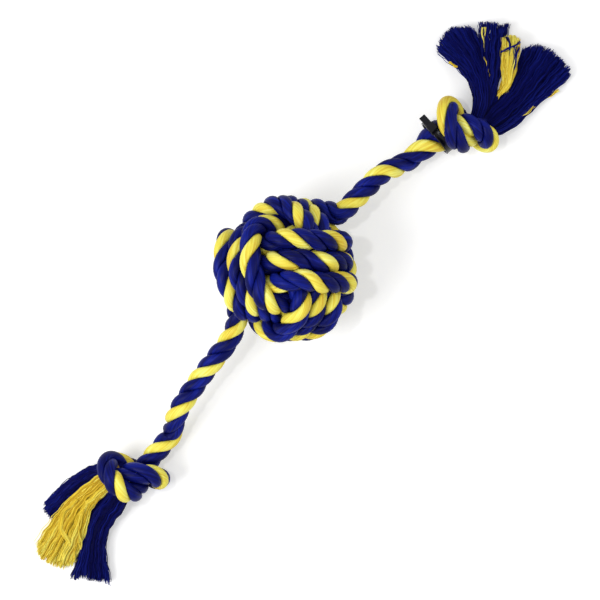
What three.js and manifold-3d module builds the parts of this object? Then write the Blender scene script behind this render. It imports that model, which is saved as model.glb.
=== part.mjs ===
import * as THREE from "three";
import { mergeVertices } from "three/addons/utils/BufferGeometryUtils.js";
import Module from "manifold-3d";

// Rope tug toy for a dog: one three-strand cotton rope, two strands blue and one yellow.
// Its middle is wound round a ball core as a three-pass monkey's fist, an arm of free rope
// leaves the fist at each of two opposite corners, and each arm ends in a tight overhand
// knot past which the three strands are unlaid into a tassel. A cable tie grips the neck
// of the right knot. The toy lies on a floor along X with the left tassel at -X, and its
// origin is on the floor, on the flat of the fist's lowest turn. Lengths are millimetres.

const wasm = await Module();
wasm.setup();

// The rope
const rope_diameter = 14;
const lay_length = 29; // along the rope, for one turn of a strand
const squeezed_diameter = 13.5; // where turns press on each other in the fist and the knots
const winding_gap = 2.3; // between the middles of touching turns' solids
const joint_gap = 0.3; // between faces that meet
const route_step = 5; // between the points of a route
const strand_radius = 3.1;
const strand_offset = 3.85; // from the rope's axis to a strand's

// The fist
const fist_radius = 50; // to the outside of the rope
const inner_turn_radius = 33; // to the outside of the turns that pass underneath
const core_clearance = 0.7; // to the turns round it
const passes = 3;
const bands = 3;
const steps_per_loop = 24;
const loop_squareness = 2.6; // exponent of the loops' rounded square outline
const side_outer_share = 0.93; // a side pass's long half width, of the middle pass's
const side_inner_share = 0.9; // and its short half width
const drift_start_share = 0.72; // of a turn, where it starts to cross to the next pass
const fist_roll = -39.9; // degrees, about Z
const fist_tilt = -5; // about X
const fist_spin = -4; // about Y
const band_starts = [225, 135, 45]; // degrees round each band
const floor_cut_share = 0.1; // of the rope's diameter, pressed flat on the floor
const exit_reach = 48; // from the fist's centre to where an arm leaves it
const exit_drop = 4;

// The arms, by points of their centre lines over the floor
const left_arm_heading = 185; // degrees from +X
const right_arm_heading = -1;
const arm_slope = 12; // degrees down, where an arm leaves the fist
const root_length = 18; // of the stretch next to the fist, where an arm bends

// The knots
const left_knot_reach = 168; // from the fist's middle to the knot's, along X
const left_knot_aside = 17.5; // and across
const right_knot_reach = 149.5;
const right_knot_aside = 19;
const left_arm_bend_share = 0.7; // of the knot's reach, where the arm bends
const left_arm_points = [[-left_knot_reach * left_arm_bend_share, -13, 29]];
const right_arm_points = [];
const left_knot_heading = 182; // degrees
const right_knot_heading = -18;
const left_knot_roll = 225;
const right_knot_roll = 315;
const knot_tail = 60; // from a knot's middle to where its rope is drawn from
const knot_near_face = 26; // from its middle to the arm's end
const knot_far_face = 20; // from its middle to the tassel's root
const knot_steps = 44;
const knot_width = 10.5;
const knot_height = 7;
const knot_rise = 2.8;
const knot_range = 2.12; // of the loose knot's parameter, either way
const knot_loose_steps = 60;

// Drawing tight
const fist_rounds = 200;
const fist_pull_share = 0.2;
const knot_rounds = 300;
const knot_pull_share = 0.4;
const press_share = 0.5;
const even_out_every = 20;
const contact_passes = 3;
const contact_share = 0.6;
const neighbour_steps = 4; // of the route either way, that aren't set apart
const free_end = 30; // of the winding's ends, outside the ball

// The cable tie, and the strands that it gathers at the right knot's neck
const tie_setback = 17; // from the right knot's middle, along X
const tie_sidestep = 7.5; // and across
const tie_heading = -6;
const tie_lift = 19;
const tie_width = 4.8;
const tie_thickness = 1.3;
const tie_seat_radius = 11.6;
const tie_clearance = 0.4;
const tie_head_length = 6.5;
const tie_head_width = 6.4;
const tie_head_height = 4.4;
const tie_head_sink = 0.6;
const tie_tail_length = 8;
const tie_head_turn = 60; // degrees round the neck
const gather_length = 14; // from the arm's end to the tie's middle
const gather_shoulder = 9; // past the tie, into the knot

// Tassels: a lock of loose yarn to each strand
const lock_root_radius = 2.6;
const root_round = 7; // radius that a tassel's root rolls on at its knot's face
const lock_belly = 6.5; // half thickness in the middle
const lock_tip = 4; // and at the tip
const lock_rest = 0.6; // over the floor
const lock_steps = 10;
const lock_blend_share = 0.45;
const lock_names = ["blue_lock_1", "yellow_lock", "blue_lock_2"];
const lock_lift_shares = [-0.5, 1, -0.5]; // a root's place, of the strands' offset
const left_lock_side_shares = [-0.87, 0, 0.87];
const right_lock_side_shares = [0.87, 0, -0.87];
const left_lock_headings = [152, 182, 211]; // degrees, the way that each lock lies
const right_lock_headings = [64, 25, -3];
const left_lock_lengths = [43, 58, 58];
const right_lock_lengths = [58, 51, 58];
const left_lock_half_widths = [8, 13, 13]; // at the tips
const right_lock_half_widths = [21, 5, 19];
const left_lock_rises = [0, 9, 0]; // over the floor
const right_lock_rises = [0, 12, 0];
const left_lock_bows = [-9, 0, 2]; // sideways, in the middle of their length
const right_lock_bows = [0, 0, 0];

// Facets
const tube_sides = 6;
const tie_sides = 32;
const core_sides = 20;
const core_rings = 14;
const strand_sides = 8;
const strand_steps = 12; // to a turn of the lay
const lock_sides = 12;

const cotton_blue = new THREE.MeshStandardMaterial({ color: 0x10147a, roughness: 0.85, metalness: 0 });
const cotton_yellow = new THREE.MeshStandardMaterial({ color: 0xf2cf3a, roughness: 0.85, metalness: 0 });
const nylon_black = new THREE.MeshStandardMaterial({ color: 0x0c0c12, roughness: 0.35, metalness: 0 });
const core_rubber = new THREE.MeshStandardMaterial({ color: 0x3a3a3c, roughness: 0.7, metalness: 0 });

const toy = new THREE.Group(); // about the floor point under the fist's centre
const on_flat = new THREE.Group();
on_flat.add(toy);
const up = new THREE.Vector3(0, 0, 1);
const radians = THREE.MathUtils.degToRad;
const tube_radius = (squeezed_diameter - winding_gap) / 2;
const floor_cut = floor_cut_share * rope_diameter;

function add(name, geometry, material) {
  const mesh = new THREE.Mesh(geometry, material);
  mesh.name = name;
  toy.add(mesh);
  return mesh;
}

function heading(degrees, slope = 0) {
  const flat = Math.cos(radians(slope));
  return new THREE.Vector3(
    flat * Math.cos(radians(degrees)),
    flat * Math.sin(radians(degrees)),
    -Math.sin(radians(slope)),
  );
}

// Routes: lists of points along a rope's centre line

function measure(route) {
  const along = [0];
  for (let i = 1; i < route.length; i++) {
    along.push(along[i - 1] + route[i].distanceTo(route[i - 1]));
  }
  return along;
}

// The places at rising distances along a route.
function placesAt(route, distances) {
  const along = measure(route);
  let k = 1;
  return distances.map((distance) => {
    while (k < along.length - 1 && along[k] < distance) k++;
    const share = (distance - along[k - 1]) / (along[k] - along[k - 1]);
    return route[k - 1].clone().lerp(route[k], share);
  });
}

function evenly(route, step) {
  const long = measure(route).at(-1);
  const count = Math.max(1, Math.round(long / step));
  return placesAt(route, Array.from({ length: count + 1 }, (_, i) => (long * i) / count));
}

// The same route in fewer points, set closer where it bends.
function bendSteps(route, count) {
  const along = measure(route);
  const weight = [0];
  for (let i = 1; i < route.length; i++) {
    const ahead = route[i].clone().sub(route[i - 1]);
    const behind = i > 1 ? route[i - 1].clone().sub(route[i - 2]) : ahead;
    weight.push(weight[i - 1] + ahead.length() / rope_diameter + ahead.angleTo(behind));
  }
  let k = 1;
  const distances = Array.from({ length: count + 1 }, (_, i) => {
    const wanted = (weight.at(-1) * i) / count;
    while (k < weight.length - 1 && weight[k] < wanted) k++;
    const share = (wanted - weight[k - 1]) / (weight[k] - weight[k - 1]);
    return along[k - 1] + share * (along[k] - along[k - 1]);
  });
  return placesAt(route, distances);
}

// Draws a loose route tight between its fixed ends. Each round shortens it a little, presses
// back what stands out of the shell, and sets touching turns a squeezed diameter apart.
function drawTight(loose, rounds, pull, core, shell) {
  let route = loose;
  for (let round = 0; round < rounds; round++) {
    if (round % even_out_every === 0) route = evenly(route, route_step);
    const last = route.length - 1;
    const share = pull * (1 - round / rounds);
    route = route.map((place, i) => {
      if (i === 0 || i === last) return place.clone();
      const middle = route[i - 1].clone().add(route[i + 1]).multiplyScalar(1 / 2);
      return place.clone().lerp(middle, share);
    });
    route.forEach((place, i) => {
      const wound = Math.min(i, last - i) * route_step > free_end;
      const out = place.length();
      if (shell && wound && out > shell) {
        place.multiplyScalar(1 - (press_share * (out - shell)) / out);
      }
    });
    for (let pass = 0; pass < contact_passes; pass++) setApart(route, core);
  }
  return evenly(route, route_step);
}

function setApart(route, core) {
  const last = route.length - 1;
  const pushes = route.map(() => new THREE.Vector3());
  const touches = route.map(() => 0);
  const across = new THREE.Vector3();
  for (let i = 0; i <= last; i++) {
    for (let j = i + neighbour_steps + 1; j <= last; j++) {
      across.subVectors(route[i], route[j]);
      const apart = across.length();
      if (apart >= squeezed_diameter) continue;
      across.multiplyScalar((squeezed_diameter - apart) / apart / 2);
      pushes[i].add(across);
      pushes[j].sub(across);
      touches[i]++;
      touches[j]++;
    }
  }
  for (let i = 1; i < last; i++) {
    route[i].addScaledVector(pushes[i], 1 / Math.max(1, touches[i] * contact_share));
    const out = route[i].length();
    if (core && out < core) route[i].multiplyScalar(core / out);
  }
}

function leastGap(route) {
  const fine = evenly(route, tube_radius / 2);
  const along = measure(fine);
  let least = Infinity;
  for (let i = 0; i < fine.length; i++) {
    for (let j = i + 1; j < fine.length; j++) {
      if (along[j] - along[i] > neighbour_steps * route_step + rope_diameter / 2) {
        least = Math.min(least, fine[i].distanceTo(fine[j]) - 2 * tube_radius);
      }
    }
  }
  return least.toFixed(2);
}

// Solids

// A closed body through rings of points, each with as many points as the next.
function loft(rings) {
  const sides = rings[0].length;
  const positions = rings.flat().flatMap((p) => [p.x, p.y, p.z]);
  const index = [];
  for (let r = 0; r < rings.length - 1; r++) {
    for (let k = 0; k < sides; k++) {
      const a = r * sides + k;
      const b = r * sides + ((k + 1) % sides);
      index.push(a, b, a + sides, b, b + sides, a + sides);
    }
  }
  const last = rings.length - 1;
  for (const r of [0, last]) {
    const middle = positions.length / 3;
    const centre = new THREE.Vector3();
    rings[r].forEach((p) => centre.addScaledVector(p, 1 / sides));
    positions.push(centre.x, centre.y, centre.z);
    for (let k = 0; k < sides; k++) {
      const a = r * sides + k;
      const b = r * sides + ((k + 1) % sides);
      if (r === 0) index.push(middle, b, a);
      else index.push(middle, a, b);
    }
  }
  const geometry = new THREE.BufferGeometry();
  geometry.setAttribute("position", new THREE.Float32BufferAttribute(positions, 3));
  geometry.setIndex(index);
  return geometry;
}

// Frames along a route that turn no more than it does.
function carryFrames(route) {
  const last = route.length - 1;
  let across = new THREE.Vector3();
  return route.map((_, i) => {
    const before = route[Math.max(i - 1, 0)];
    const forward = route[Math.min(i + 1, last)].clone().sub(before).normalize();
    if (i === 0) across = new THREE.Vector3().crossVectors(forward, up);
    across = across.clone().addScaledVector(forward, -across.dot(forward)).normalize();
    return { forward, across, over: new THREE.Vector3().crossVectors(forward, across) };
  });
}

// A round body along a route, its centre turned round the route at the given offset.
function sweep(route, radius, sides, offset = 0, turnAt = () => 0) {
  const frames = carryFrames(route);
  const along = measure(route);
  const rings = route.map((place, i) => {
    const { across, over } = frames[i];
    const turn = turnAt(along[i]);
    return Array.from({ length: sides }, (_, k) => {
      const angle = (2 * Math.PI * k) / sides;
      return place
        .clone()
        .addScaledVector(across, offset * Math.cos(turn) + radius * Math.cos(angle))
        .addScaledVector(over, offset * Math.sin(turn) + radius * Math.sin(angle));
    });
  });
  return loft(rings);
}

function solidOf(geometry) {
  const bare = geometry.clone();
  bare.deleteAttribute("normal");
  bare.deleteAttribute("uv");
  const merged = mergeVertices(bare);
  return new wasm.Manifold(
    new wasm.Mesh({
      numProp: 3,
      vertProperties: merged.attributes.position.array,
      triVerts: new Uint32Array(merged.index.array),
    }),
  );
}

function geometryOf(solid) {
  const mesh = solid.getMesh();
  const geometry = new THREE.BufferGeometry();
  geometry.setAttribute("position", new THREE.BufferAttribute(mesh.vertProperties, 3));
  geometry.setIndex(new THREE.BufferAttribute(mesh.triVerts, 1));
  return geometry;
}

// What is left above the floor.
function cutAtFloor(geometry) {
  geometry.computeBoundingBox();
  const size = geometry.boundingBox.getSize(new THREE.Vector3());
  const middle = geometry.boundingBox.getCenter(new THREE.Vector3());
  const below = new THREE.BoxGeometry(2 * size.x, 2 * size.y, size.z);
  below.translate(middle.x, middle.y, -size.z / 2);
  return geometryOf(solidOf(geometry).subtract(solidOf(below)));
}

// The fist

const outer_turn = fist_radius - rope_diameter / 2;
const inner_turn = inner_turn_radius - rope_diameter / 2;
const core_radius = inner_turn - tube_radius - core_clearance;

function superLoop(angle, long, short) {
  const c = Math.cos(angle);
  const s = Math.sin(angle);
  const sum = Math.abs(c / long) ** loop_squareness + Math.abs(s / short) ** loop_squareness;
  const out = sum ** (-1 / loop_squareness);
  return [out * c, out * s];
}

// Three bands of three passes, each band square to the other two. Every band lies over one
// neighbour and under the other, so none can slip off.
function looseFist() {
  const route = [];
  const turn_steps = Math.round((2 * Math.PI * outer_turn) / route_step);
  for (let band = 0; band < bands; band++) {
    for (let i = 0; i < passes * turn_steps; i++) {
      const turns = i / turn_steps;
      const pass = Math.floor(turns);
      const late = (turns - pass - drift_start_share) / (1 - drift_start_share);
      const drift = pass < passes - 1 ? THREE.MathUtils.smoothstep(late, 0, 1) : 0;
      const place = pass - (passes - 1) / 2 + drift;
      const sideways = place * place;
      const [p, q] = superLoop(
        radians(band_starts[band]) + 2 * Math.PI * turns,
        outer_turn * (1 - (1 - side_outer_share) * sideways),
        inner_turn * (1 - (1 - side_inner_share) * sideways),
      );
      const offset = place * rope_diameter;
      if (band === 0) route.push(new THREE.Vector3(p, q, offset));
      if (band === 1) route.push(new THREE.Vector3(offset, p, q));
      if (band === 2) route.push(new THREE.Vector3(q, offset, p));
    }
  }
  return route;
}

// The fist lies with an edge between two of its faces up, turned as it came to rest.
const edge_up = new THREE.Matrix4().makeBasis(
  new THREE.Vector3(Math.SQRT1_2, 0, Math.SQRT1_2),
  new THREE.Vector3(Math.SQRT1_2, 0, -Math.SQRT1_2),
  new THREE.Vector3(0, 1, 0),
);
const attitude = new THREE.Matrix4()
  .makeRotationZ(radians(fist_roll))
  .multiply(new THREE.Matrix4().makeRotationX(radians(fist_tilt)))
  .multiply(new THREE.Matrix4().makeRotationY(radians(fist_spin)))
  .multiply(edge_up);

const left_out = heading(left_arm_heading, arm_slope);
const right_out = heading(right_arm_heading, arm_slope);
const left_exit = heading(left_arm_heading).multiplyScalar(exit_reach).setZ(-exit_drop);
const right_exit = heading(right_arm_heading).multiplyScalar(exit_reach).setZ(-exit_drop);

const wound = drawTight(
  [left_exit, ...looseFist().map((place) => place.applyMatrix4(attitude)), right_exit],
  fist_rounds,
  fist_pull_share,
  inner_turn,
  outer_turn,
);
const lowest = wound.reduce((low, place) => (place.z < low.z ? place : low));
const fist_centre = new THREE.Vector3(0, 0, tube_radius - floor_cut - lowest.z);
on_flat.position.set(-lowest.x, -lowest.y, 0);
wound.forEach((place) => place.add(fist_centre));

// The winding's ends run straight for one tube diameter, and meet the arms there.
const left_root = wound[0].clone().addScaledVector(left_out, 2 * tube_radius);
const right_root = wound.at(-1).clone().addScaledVector(right_out, 2 * tube_radius);
const winding = [
  left_root,
  ...bendSteps(wound, bands * passes * steps_per_loop),
  right_root,
];

const core = new THREE.SphereGeometry(core_radius, core_sides, core_rings);
core.translate(fist_centre.x, fist_centre.y, fist_centre.z);
add("fist_core", core, core_rubber);
add("fist_winding", cutAtFloor(sweep(winding, tube_radius, tube_sides)), cotton_blue);

// The knots

// The loose knot runs along Z about its middle.
function looseKnot() {
  const route = [new THREE.Vector3(0, 0, -knot_tail)];
  for (let i = 0; i <= 2 * knot_loose_steps; i++) {
    const t = knot_range * (i / knot_loose_steps - 1);
    route.push(
      new THREE.Vector3(
        knot_width * (t ** 3 - 3 * t),
        knot_height * (t ** 4 - 4 * t ** 2 + 2),
        knot_rise * (t ** 5 - 10 * t),
      ),
    );
  }
  route.push(new THREE.Vector3(0, 0, knot_tail));
  return route;
}

const tight_knot = drawTight(looseKnot(), knot_rounds, knot_pull_share, 0, 0);

// The stretch between a knot's two faces, with its ends straight along the knot's axis.
function knotRoute() {
  const first = tight_knot.findIndex((p) => p.z > 2 * tube_radius - knot_near_face);
  const last = tight_knot.findLastIndex((p) => p.z < knot_far_face - 2 * tube_radius);
  const near = tight_knot[first].clone().setZ(-knot_near_face);
  const far = tight_knot[last].clone().setZ(knot_far_face);
  return [near, ...bendSteps(tight_knot.slice(first, last + 1), knot_steps), far];
}

// Lays a knot on the floor with its axis along a heading.
function layKnot(place, degrees, roll) {
  const turn = new THREE.Matrix4()
    .makeRotationZ(radians(degrees))
    .multiply(new THREE.Matrix4().makeRotationX(radians(roll)))
    .multiply(new THREE.Matrix4().makeRotationY(Math.PI / 2));
  const route = knotRoute().map((p) => p.applyMatrix4(turn));
  const low = Math.min(...route.map((p) => p.z));
  const middle = new THREE.Vector3(...place, tube_radius - floor_cut - low);
  route.forEach((p) => p.add(middle));
  return route;
}

const left_knot_place = [-left_knot_reach, -left_knot_aside];
const right_knot_place = [right_knot_reach, -right_knot_aside];
const left_knot = layKnot(left_knot_place, left_knot_heading, left_knot_roll);
const right_knot = layKnot(right_knot_place, right_knot_heading, right_knot_roll);
add("left_knot", cutAtFloor(sweep(left_knot, tube_radius, tube_sides)), cotton_blue);

// The strands that the tie gathers stand wide of the rope, so the right knot's neck flares.
const tie_out = heading(tie_heading);
const tie_middle = new THREE.Vector3(
  right_knot_reach - tie_setback,
  tie_sidestep - right_knot_aside,
  tie_lift,
);
const along_tie = new THREE.Quaternion().setFromUnitVectors(up, tie_out);

function gatheredNeck() {
  const seat = tie_width / 2 + tie_clearance;
  const outline = [
    [0, -gather_length],
    [rope_diameter / 2, -gather_length],
    [tie_seat_radius, -seat],
    [tie_seat_radius, seat],
    [tie_seat_radius - tube_radius / 2, gather_shoulder],
    [0, gather_shoulder],
  ].map(([r, z]) => new THREE.Vector2(r, z));
  const neck = new THREE.LatheGeometry(outline, core_sides);
  neck.rotateX(Math.PI / 2);
  return neck.applyQuaternion(along_tie).translate(tie_middle.x, tie_middle.y, tie_middle.z);
}

add(
  "right_knot",
  cutAtFloor(
    geometryOf(solidOf(sweep(right_knot, tube_radius, tube_sides)).add(solidOf(gatheredNeck()))),
  ),
  cotton_blue,
);

// The arms

const strand_step = lay_length / strand_steps;

function curveThrough(points, step) {
  const curve = new THREE.CatmullRomCurve3(points, false, "centripetal");
  return curve.getSpacedPoints(Math.max(2, Math.round(curve.getLength() / step)));
}

// An arm from the winding's end to its knot: a short stretch that bends, then the three
// strands, twisted right-handed round each other.
function addArm(side, start, out, points, knot) {
  const places = points.map((point) => new THREE.Vector3(...point));
  const knot_in = knot[1].clone().sub(knot[0]).normalize();
  const straight = 2 * tube_radius;
  const from = start.clone().addScaledVector(out, joint_gap);
  const root_end = from.clone().addScaledVector(out, root_length);
  const to = knot[0].clone().addScaledVector(knot_in, -joint_gap);
  add(`${side}_arm_root`, sweep([from, root_end], tube_radius, strand_sides), cotton_blue);

  const first = root_end.clone().addScaledVector(out, joint_gap);
  const led_out = first.clone().addScaledVector(out, straight);
  const led_in = to.clone().addScaledVector(knot_in, -straight);
  const curve = curveThrough([led_out, ...places, led_in], strand_step);
  const route = evenly([first, ...curve, to], strand_step);
  const lead = (along) => (2 * Math.PI * along) / lay_length;
  const strands = ["blue_strand_1", "blue_strand_2", "yellow_strand"];
  strands.forEach((name, i) => {
    const turnAt = (along) => lead(along) + (2 * Math.PI * i) / strands.length;
    const strand = sweep(route, strand_radius, strand_sides, strand_offset, turnAt);
    add(`${side}_arm_${name}`, strand, name.startsWith("blue") ? cotton_blue : cotton_yellow);
  });
}

addArm("left", left_root, left_out, left_arm_points, left_knot);
addArm("right", right_root, right_out, right_arm_points, neckEnds());

// Where the right arm meets the gathered neck.
function neckEnds() {
  const end = tie_middle.clone().addScaledVector(tie_out, -gather_length);
  return [end, tie_middle];
}

// The cable tie, one moulding: a strap closed round the neck, its head and its cut tail

function cableTie() {
  const inner = tie_seat_radius + tie_clearance;
  const half = tie_width / 2;
  const rim = tie_thickness / 4;
  const outline = [
    [inner, -half],
    [inner + tie_thickness - rim, -half],
    [inner + tie_thickness, rim - half],
    [inner + tie_thickness, half - rim],
    [inner + tie_thickness - rim, half],
    [inner, half],
    [inner, -half],
  ].map(([r, z]) => new THREE.Vector2(r, z));
  const strap = new THREE.LatheGeometry(outline, tie_sides);
  strap.rotateX(Math.PI / 2);
  const face = new THREE.Shape();
  const wide = tie_head_width / 2;
  const high = tie_head_height;
  const slant = tie_thickness / 2;
  face.moveTo(-tie_head_length / 2, 0);
  face.lineTo(tie_head_length / 2, 0);
  face.lineTo(tie_head_length / 2, high - slant);
  face.lineTo(tie_head_length / 2 - slant, high);
  face.lineTo(slant - tie_head_length / 2, high);
  face.lineTo(-tie_head_length / 2, high - slant);
  const head = new THREE.ExtrudeGeometry(face, { depth: 2 * wide, bevelEnabled: false });
  head.translate(0, inner + tie_head_sink, -wide);
  const tail = new THREE.BoxGeometry(tie_tail_length + tie_head_sink, tie_thickness, tie_width);
  const tail_middle = tie_head_length / 2 + (tie_tail_length - tie_head_sink) / 2;
  tail.translate(tail_middle, inner + tie_head_sink + high / 2, 0);
  return geometryOf(solidOf(strap).add(solidOf(head)).add(solidOf(tail)));
}

const tie = add("cable_tie", cableTie(), nylon_black);
tie.position.copy(tie_middle);
tie.quaternion.copy(along_tie);
tie.rotateZ(radians(tie_head_turn));

// The tassels

// A lock swells out of its root at the knot's face and fans out flat to its tips. Its root
// is rounded about the tassel's pivot, so that it rolls on the knot's face as it droops.
function lockOf(knot, degrees, { side, lift, length, lies, half, over, bow }) {
  const face = knot.at(-1);
  const ahead = heading(degrees);
  const aside = heading(degrees + 90);
  const rings = Array.from({ length: lock_steps + 1 }, (_, i) => {
    const share = i / lock_steps;
    const blend = THREE.MathUtils.smoothstep(share / lock_blend_share, 0, 1);
    const wide = lock_root_radius + (half - lock_root_radius) * Math.sin((Math.PI / 2) * share);
    const swell = Math.sin(Math.PI * Math.sqrt(share)) * (lock_belly - lock_tip);
    const thick = THREE.MathUtils.lerp(lock_root_radius, lock_tip, share) + swell;
    return Array.from({ length: lock_sides }, (_, k) => {
      const angle = (2 * Math.PI * k) / lock_sides;
      const height = lift * strand_offset + lock_root_radius * Math.sin(angle);
      const back = root_round - Math.sqrt(root_round ** 2 - height ** 2) + joint_gap;
      const root = face
        .clone()
        .addScaledVector(ahead, back + share * length)
        .addScaledVector(aside, side * strand_offset + lock_root_radius * Math.cos(angle))
        .setZ(face.z + height);
      const across = wide * Math.cos(angle);
      const aslant = across + bow * Math.sin(Math.PI * share);
      const fan = face
        .clone()
        .addScaledVector(heading(lies), share * (length - across ** 2 / (2 * length)))
        .addScaledVector(heading(lies + 90), aslant)
        .setZ(lock_rest + over + thick * (1 + Math.sin(angle)));
      return root.lerp(fan, blend);
    });
  });
  return loft(rings);
}

function addTassel(side, knot, degrees, sides, headings, lengths, halves, rises, bows) {
  lock_names.forEach((name, i) => {
    const lock = {
      side: sides[i],
      lift: lock_lift_shares[i],
      length: lengths[i],
      lies: headings[i],
      half: halves[i],
      over: rises[i],
      bow: bows[i],
    };
    const yarn = name.startsWith("blue") ? cotton_blue : cotton_yellow;
    add(`${side}_tassel_${name}`, lockOf(knot, degrees, lock), yarn);
  });
}

addTassel(
  "left",
  left_knot,
  left_knot_heading,
  left_lock_side_shares,
  left_lock_headings,
  left_lock_lengths,
  left_lock_half_widths,
  left_lock_rises,
  left_lock_bows,
);
addTassel(
  "right",
  right_knot,
  right_knot_heading,
  right_lock_side_shares,
  right_lock_headings,
  right_lock_lengths,
  right_lock_half_widths,
  right_lock_rises,
  right_lock_bows,
);

console.log("least gap of the winding to itself", leastGap(winding));
console.log("least gap of a knot to itself", leastGap(left_knot));

// Where the moving pieces turn: each arm at both ends of its root, each tassel at its knot.
function turningPoints(root, out, knot, degrees) {
  const lift = root.clone().addScaledVector(out, root_length + (3 * joint_gap) / 2);
  const droop = knot.at(-1).clone().addScaledVector(heading(degrees), root_round + joint_gap);
  return [root, lift, droop].map((place) => place.clone().add(on_flat.position).toArray());
}

const left_turns = turningPoints(left_root, left_out, left_knot, left_knot_heading);
const right_turns = turningPoints(right_root, right_out, right_knot, right_knot_heading);
console.log("left arm's swing and lift, and its tassel's droop", left_turns);
console.log("right arm's swing and lift, and its tassel's droop", right_turns);

export default on_flat;
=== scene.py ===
import math

import bmesh
import bpy
import numpy as np
from mathutils import Matrix, Vector


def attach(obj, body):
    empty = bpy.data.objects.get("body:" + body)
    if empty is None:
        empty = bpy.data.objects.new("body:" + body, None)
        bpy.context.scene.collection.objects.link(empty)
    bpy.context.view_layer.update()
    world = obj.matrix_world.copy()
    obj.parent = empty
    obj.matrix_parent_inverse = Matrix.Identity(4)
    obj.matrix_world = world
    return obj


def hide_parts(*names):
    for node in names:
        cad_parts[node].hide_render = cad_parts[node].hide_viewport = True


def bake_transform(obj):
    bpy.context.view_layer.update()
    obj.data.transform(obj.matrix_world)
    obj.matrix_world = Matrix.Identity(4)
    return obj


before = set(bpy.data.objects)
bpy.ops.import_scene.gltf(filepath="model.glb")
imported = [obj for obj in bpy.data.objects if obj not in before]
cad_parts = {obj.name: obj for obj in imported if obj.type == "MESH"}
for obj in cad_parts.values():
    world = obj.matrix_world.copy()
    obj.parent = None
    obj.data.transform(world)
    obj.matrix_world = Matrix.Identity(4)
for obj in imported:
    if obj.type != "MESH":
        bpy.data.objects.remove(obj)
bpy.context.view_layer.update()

MM = 0.001
rng = np.random.default_rng(7)

# The rope and its route, as in the part's source. Headings, rolls and turns are degrees.
rope_diameter = 14 * MM
squeezed_diameter = 13.5 * MM
tube_radius = 5.6 * MM
joint_gap = 0.3 * MM
route_step = 5 * MM

fist_radius = 50 * MM
inner_turn_radius = 33 * MM
passes = 3
bands = 3
loop_squareness = 2.6
side_outer_share = 0.93
side_inner_share = 0.9
drift_start_share = 0.72
fist_roll = -39.9
fist_tilt = -5
fist_spin = -4
band_starts = [225, 135, 45]
floor_cut = 1.4 * MM
exit_reach = 48 * MM
exit_drop = 4 * MM

left_arm_heading = 185
right_arm_heading = -1
arm_slope = 12
root_length = 18 * MM

# Places over the floor, in mm from the point under the fist's middle, and heights from the floor
left_knot_reach = 168
left_knot_aside = 17.5
right_knot_reach = 149.5
right_knot_aside = 19
left_arm_bend_share = 0.7
left_arm_points = [[-left_knot_reach * left_arm_bend_share, -13, 29]]
right_arm_points = []
left_knot_lie = dict(place=(-left_knot_reach, -left_knot_aside), heading=182, roll=225)
right_knot_lie = dict(place=(right_knot_reach, -right_knot_aside), heading=-18, roll=315)
tie_setback = 17
tie_sidestep = 7.5
tie_place = (right_knot_reach - tie_setback, tie_sidestep - right_knot_aside)
tie_lift = 19

# The knot, loose, and how much of it is kept when it is tight
knot_tail = 60 * MM
knot_near_face = 26 * MM
knot_far_face = 20 * MM
knot_width = 10.5 * MM
knot_height = 7 * MM
knot_rise = 2.8 * MM
knot_range = 2.12
knot_loose_steps = 60

# Drawing the fist and the knot tight
fist_rounds = 200
fist_pull_share = 0.2
knot_rounds = 300
knot_pull_share = 0.4
press_share = 0.5
even_out_every = 20
contact_passes = 3
contact_share = 0.6
neighbour_steps = 4
free_end = 30 * MM

# Where the tie gathers the right knot's neck
tie_heading = -6
tie_seat_radius = 11.6 * MM
gather_length = 14 * MM

# The tassels' locks, in mm, their places from that same point. A course: the middle's place and
# height, half the width and half the thickness. Trim: how much shorter the left and right edges
# are. Wisps: smaller bundles of yarn, each a course and its number of yarns.
left_locks = [
    dict(
        name="blue_lock_1",
        course=[
            (-169, -13, 21, 4.5, 4.5), (-178, -5.5, 22, 6, 5.5), (-187, -0.5, 17.5, 7, 6),
            (-203, 2.7, 10, 7, 5.5), (-226, 3, 6, 6.8, 4.5),
        ],
        trim=(-2, 3),
        wisps=[],
    ),
    dict(
        name="yellow_lock",
        course=[
            (-170, -12, 24, 4, 4), (-180, -9.8, 27, 5.8, 4.5), (-188, -9, 25.5, 6.8, 5),
            (-196, -7.8, 22, 6.8, 5), (-205, -7.6, 17, 7.8, 5), (-216, -10.3, 12.5, 10.6, 4.8),
            (-231, -15, 8, 13.3, 4.5), (-249.5, -19.5, 4.8, 14.5, 4),
        ],
        trim=(9, 7),
        wisps=[
            (
                [
                    (-204, -4, 22.5, 1, 0.8), (-219, -3, 17, 1, 0.8), (-227, -8, 15, 1.2, 0.7),
                    (-230, -20, 13.5, 1.6, 0.6),
                ],
                45,
            ),
            (
                [
                    (-206, -12, 21.5, 0.6, 0.5), (-219, -18, 16, 0.6, 0.4),
                    (-228, -29, 12.5, 1.2, 0.6),
                ],
                14,
            ),
            ([(-221, -21, 13, 0.5, 0.4), (-231, -25, 11, 0.5, 0.4), (-238, -31, 9, 0.8, 0.5)], 9),
        ],
    ),
    dict(
        name="blue_lock_2",
        course=[
            (-173, -19, 19, 5, 5), (-183, -21.5, 20, 7.5, 6), (-191, -23.2, 16.5, 8.8, 6),
            (-199, -23, 12.5, 8.9, 5.5), (-207, -25.3, 10, 8.2, 5.5), (-216, -29.3, 8.5, 7.3, 5),
            (-226, -37, 7, 8.5, 5), (-237.5, -46, 5.5, 13.2, 4.5),
        ],
        trim=(-4, -2),
        wisps=[],
    ),
]
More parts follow.
